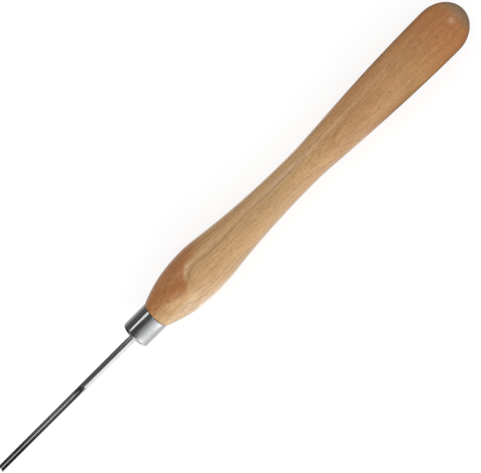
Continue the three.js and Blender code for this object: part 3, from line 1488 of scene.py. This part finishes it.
    def _bevel_corner(self, column: int, reach: float, depth: float, share: float) -> Vector:
        """Corner of the bevel, a share of the way straight from the cutting edge to the heel."""
        point = self._section(reach).lerp(self._rim(column, 0.0), share)
        return Vector((-depth * share, *point))

    def _outer_corner(self, column: int, back: float, length: float) -> Vector:
        """Corner of the round outside, which narrows over the chamfer of the tang.

        Args:
            column: The column.
            back: The distance back from the cutting edge.
            length: The bar's whole length.

        Returns:
            The corner.
        """
        narrowed = max(0.0, back - (length - self.tang_chamfer))
        point = self._rim(column, back) * (1.0 - narrowed / self.radius)
        return Vector((-back, *point))


# The stage


@dataclass(frozen=True)
class Camera:
    """The camera, set as the photograph was taken: above the tool, leaning towards its butt."""

    target: Triple = (-0.0133, 0.0033, 0.02125)
    distance: float = 1.5
    lean: float = math.radians(9.7)
    roll: float = math.radians(135.12)
    lens: float = 147.08
    sensor_width: float = 36.0

    @property
    def back(self) -> Vector:
        """Direction from the target back to the camera."""
        return Vector((-math.sin(self.lean), 0.0, math.cos(self.lean)))

    @property
    def place(self) -> Vector:
        """Place of the camera."""
        return Vector(self.target) + self.back * self.distance

    def build(self) -> None:
        """Makes the camera and hands it to the scene."""
        data = bpy.data.cameras.new("camera")
        data.lens = self.lens
        data.sensor_width = self.sensor_width
        data.sensor_fit = "HORIZONTAL"
        camera = in_scene("camera", data)
        along = Vector((math.cos(self.lean), 0.0, math.sin(self.lean)))
        side = Vector((0.0, 1.0, 0.0))
        right = along * math.cos(self.roll) + side * math.sin(self.roll)
        up = side * math.cos(self.roll) - along * math.sin(self.roll)
        turn = Matrix((right, up, self.back)).transposed().to_4x4()
        camera.matrix_world = Matrix.Translation(self.place) @ turn
        bpy.context.scene.camera = camera


def seen(sheet: Sheet) -> Socket:
    """Tells the rays that show the background: straight ones, reflected ones and refracted ones.

    Args:
        sheet: The sheet to add the nodes to.

    Returns:
        1 for such a ray, and 0 for the rest.
    """
    path = sheet.node("ShaderNodeLightPath").outputs
    straight = sheet.sum(Maths.LARGER, path["Is Camera Ray"], path["Is Glossy Ray"])
    return sheet.sum(Maths.LARGER, straight, path["Is Transmission Ray"])


@dataclass(frozen=True)
class Floor:
    """The plain pale floor, which shows as white and keeps the tool's soft shadow."""

    half_width: float = 4.0
    segments: int = 4
    drop: float = 0.0001
    whiteness: float = 0.86
    shown_whiteness: float = 0.3
    lift: float = 0.76

    def build(self) -> None:
        """Makes the floor."""
        mesh = bmesh.new()
        bmesh.ops.create_grid(
            mesh, x_segments=self.segments, y_segments=self.segments, size=self.half_width
        )
        bmesh.ops.translate(mesh, verts=mesh.verts, vec=(0.0, 0.0, -self.drop))
        data = as_data("floor", mesh)
        material = bpy.data.materials.new("floor")
        sheet = Sheet.blank(material)
        shown = sheet.ease(seen(sheet), 0.0, 1.0, self.whiteness, self.shown_whiteness)
        matt = sheet.node("ShaderNodeBsdfDiffuse", {"Color": shown})
        lift = sheet.times(seen(sheet), self.lift)
        glow = sheet.node("ShaderNodeEmission", {"Strength": lift})
        both = sheet.node("ShaderNodeAddShader", {0: matt.outputs[0], 1: glow.outputs[0]})
        sheet.node("ShaderNodeOutputMaterial", {"Surface": both.outputs[0]})
        data.materials.append(material)
        floor = in_scene("floor", data)


# A direction round the tool, in degrees from straight up and towards +Y where positive, with
# the light tent's brightness there
Glow = tuple[float, float]

# The left side of the tent as the handle mirrors it and as the ferrule does: a dark board with
# a lit slit
HANDLE_LEFT: tuple[Glow, ...] = (
    (-180, 1.0), (-127, 0.85), (-112, 0.2), (-98, 0.1), (-60, 0.08), (-57, 0.95), (-43, 0.95),
    (-40, 0.08), (-10, 0.08),
)
FERRULE_LEFT: tuple[Glow, ...] = (
    (-180, 0.8), (-146, 0.66), (-126, 0.46), (-112, 0.29), (-98, 0.1), (-60, 0.06), (-57, 0.98),
    (-46, 0.98), (-43, 0.06),
)


class Cloth(NamedTuple):
    """A length of the light tent, which is mirrored in the tool from one place along it to another."""

    start: float
    end: float
    glows: tuple[Glow, ...]


@dataclass(frozen=True)
class LightTent:
    """A tent of boards and cloth round the tool, which only polished surfaces see.

    It hangs in lengths of unlike brightness, and each is mirrored to the camera in one length
    of the tool. Behind the rearmost one, towards the butt, it is dark but for a small window.
    """

    radius: float = 0.6
    ends: tuple[float, float] = (-4.0, 4.0)
    floor_gap: float = 0.00005
    step: int = 5
    full_brightness: float = 3.0
    darkness: float = 0.06
    first_fade: float = 0.06
    window_place: Triple = (-1.0, 0.0, 0.62)
    window_reaches: tuple[float, float] = (0.33, 0.08)
    cloths: tuple[Cloth, ...] = (
        Cloth(-0.115, 0.0, (*HANDLE_LEFT, (20, 0.35), (60, 0.65), (90, 0.88), (130, 0.75), (180, 0.6))),
        Cloth(0.02, 0.042, (*HANDLE_LEFT, (20, 0.45), (60, 0.95), (90, 1.5), (130, 1.3), (180, 0.8))),
        Cloth(0.058, 0.1035, (
            *FERRULE_LEFT,(-14, 0.06), (15, 0.34), (50, 0.74), (75, 0.93), (95, 0.73), (115, 0.58),
            (146, 0.72), (180, 0.8),
        )),
        Cloth(0.108, 0.161, (
            (-180, 0.25), (-155, 0.085), (-60, 0.085), (-55, 0.14), (-46, 0.14), (-40, 0.085),
            (-5, 0.04), (8, 0.06), (21, 0.25), (33, 0.65), (44, 1.1), (58, 1.4), (75, 1.25),
            (100, 0.88), (180, 0.8),
        )),
        Cloth(0.1665, 0.195, (
            (-180, 0.5), (-155, 0.1), (-126, 0.055), (-20, 0.07), (-8, 0.12), (5, 0.55), (15, 1.2),
            (24, 1.3), (32, 0.8), (39, 0.15), (56, 0.08), (92, 0.12), (108, 0.8), (125, 1.2),
            (180, 1.2),
        )),
        Cloth(0.225, 0.29, (
            (-180, 0.4), (-155, 0.05), (-126, 0.01), (-20, 0.005), (-8, 0.1), (5, 0.45), (15, 0.9),
            (27, 1.2), (38, 1.0), (46, 0.2), (56, 0.02), (92, 0.05), (108, 0.9), (125, 1.3),
            (180, 1.2),
        )),
        Cloth(0.33, 0.42, (
            (-180, 0.4), (-120, 0.06), (-60, 0.04), (-56, 0.3), (-47, 0.3), (-43, 0.04), (-8, 0.05),
            (8, 0.35), (30, 0.4), (45, 0.3), (70, 0.7), (100, 1.3), (180, 1.2),
        )),
        Cloth(0.6, 4.0, (
            *FERRULE_LEFT,(-14, 0.1), (15, 0.42), (50, 0.6), (75, 0.66), (95, 0.58), (115, 0.55),
            (146, 0.72), (180, 0.8),
        )),
    )

    def build(self, axis_height: float, camera: Camera) -> None:
        """Makes the tent.

        Args:
            axis_height: The height of the tool's axis.
            camera: The camera that the lengths of cloth are hung for.
        """
        mesh = bmesh.new()
        angles = range(-180, 181, self.step)
        points = [mesh.verts.new(self._rib(math.radians(angle), axis_height)) for angle in angles]
        edges = [mesh.edges.new(pair) for pair in zip(points, points[1:])]
        made = bmesh.ops.extrude_edge_only(mesh, edges=edges)["geom"]
        far = [item for item in made if isinstance(item, bmesh.types.BMVert)]
        start, end = self.ends
        bmesh.ops.translate(mesh, verts=far, vec=(end - start, 0.0, 0.0))
        data = as_data("light_tent", mesh)
        data.materials.append(self._material(axis_height, camera))
        tent = in_scene("light_tent", data)
        tent.visible_camera = False
        tent.visible_diffuse = False
        tent.visible_transmission = False
        tent.visible_shadow = False

    def _rib(self, turn: float, axis_height: float) -> Vector:
        """Point of the tent's first rib, on the round cloth or on the boards on the floor.

        Args:
            turn: The direction from the tool's axis, from straight up.
            axis_height: The height of the axis.

        Returns:
            The point.
        """
        reach = self.radius
        if math.cos(turn) < 0:
            reach = min(reach, (axis_height + self.floor_gap) / -math.cos(turn))
        return Vector((self.ends[0], reach * math.sin(turn), axis_height + reach * math.cos(turn)))

    def _material(self, axis_height: float, camera: Camera) -> bpy.types.Material:
        """Makes the tent's light, which turns with the direction from the tool's axis.

        Args:
            axis_height: The height of the axis.
            camera: The camera that the lengths of cloth are hung for.

        Returns:
            The material.
        """
        material = bpy.data.materials.new("light_tent")
        sheet = Sheet.blank(material)
        place = sheet.node("ShaderNodeTexCoord").outputs["Object"]
        parts = sheet.parts(place)
        turn = sheet.sum(Maths.ANGLE, parts[1], sheet.less(parts[2], axis_height))
        share = sheet.plus(sheet.sum(Maths.DIVIDE, turn, 2 * math.pi), 0.5)
        mirrored = self._mirrored(sheet, place, axis_height, camera)
        shown: Source = (self.darkness / self.full_brightness,) * 3
        reached = self.cloths[0].start - self.first_fade
        for cloth in self.cloths:
            stops = [(angle / 360 + 0.5, glow / self.full_brightness) for angle, glow in cloth.glows]
            hung = sheet.ease(mirrored, reached, cloth.start)
            shown = sheet.mix(hung, shown, sheet.ramp(share, stops))
            reached = cloth.end
        away = sheet.vector(Vectors.DISTANCE, place, self.window_place)
        shown = sheet.mix(sheet.ease(away, *self.window_reaches), shown, WHITE)
        glow = sheet.node("ShaderNodeEmission", {"Color": shown, "Strength": self.full_brightness})
        sheet.node("ShaderNodeOutputMaterial", {"Surface": glow.outputs[0]})
        return material

    @staticmethod
    def _mirrored(sheet: Sheet, place: Source, axis_height: float, camera: Camera) -> Socket:
        """Finds the place along the tool that mirrors a spot of the tent to the camera.

        Args:
            sheet: The material's sheet.
            place: The spot.
            axis_height: The height of the tool's axis.
            camera: The camera.

        Returns:
            The place along the tool.
        """
        lens = camera.place
        from_axis = sheet.vector(Vectors.SUBTRACT, place, (0.0, 0.0, axis_height))
        away = sheet.vector(Vectors.LENGTH, sheet.stretch(from_axis, ACROSS))
        share = sheet.sum(Maths.DIVIDE, away, lens.z - axis_height)
        carried = sheet.plus(sheet.parts(place)[0], sheet.times(share, lens.x))
        return sheet.sum(Maths.DIVIDE, carried, sheet.plus(share, 1.0))


@dataclass(frozen=True)
class Lamp:
    """A square lamp that faces the tool, with its size in metres and its power in watts."""

    name: str
    place: Triple
    size: float
    power: float

    def build(self) -> None:
        """Makes the lamp, which lights the tool but isn't seen or mirrored."""
        data = bpy.data.lights.new(self.name, "AREA")
        data.size = self.size
        data.energy = self.power
        lamp = in_scene(self.name, data)
        turn = Vector(self.place).to_track_quat("Z", "Y")
        lamp.matrix_world = Matrix.Translation(self.place) @ turn.to_matrix().to_4x4()
        lamp.visible_glossy = False
        lamp.visible_camera = False


@dataclass(frozen=True)
class Studio:
    """The soft light: an even room, a broad lamp on the right and a weaker one on the left."""

    room: float = 0.85
    lamps: tuple[Lamp, ...] = (
        Lamp("key", (0.32, 0.62, 0.34), 0.6, 2.1),
        Lamp("fill", (-0.1, -0.9, 0.6), 0.9, 0.5),
    )

    def build(self) -> None:
        """Sets a world that lights evenly and shows as white, and the lamps."""
        world = bpy.data.worlds.new("room")
        sheet = Sheet.blank(world)
        strength = sheet.ease(seen(sheet), 0.0, 1.0, self.room, 1.0)
        light = sheet.node("ShaderNodeBackground", {"Color": WHITE, "Strength": strength})
        sheet.node("ShaderNodeOutputWorld", {"Surface": light.outputs[0]})
        bpy.context.scene.world = world
        for lamp in self.lamps:
            lamp.build()
        bpy.context.scene.view_settings.view_transform = "Standard"


def main() -> None:
    """Builds the tool on its stage."""
    logging.basicConfig(level=logging.INFO, format="%(name)s: %(message)s")
    log.info("frame with %d nodes", len(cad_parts))
    places = Places.read()
    for piece in (Handle(), Ferrule(), GougeBar()):
        piece.build(places)
    camera = Camera()
    camera.build()
    Floor().build()
    LightTent().build(places.axis_height, camera)
    Studio().build()


if __name__ == "__main__":
    main()
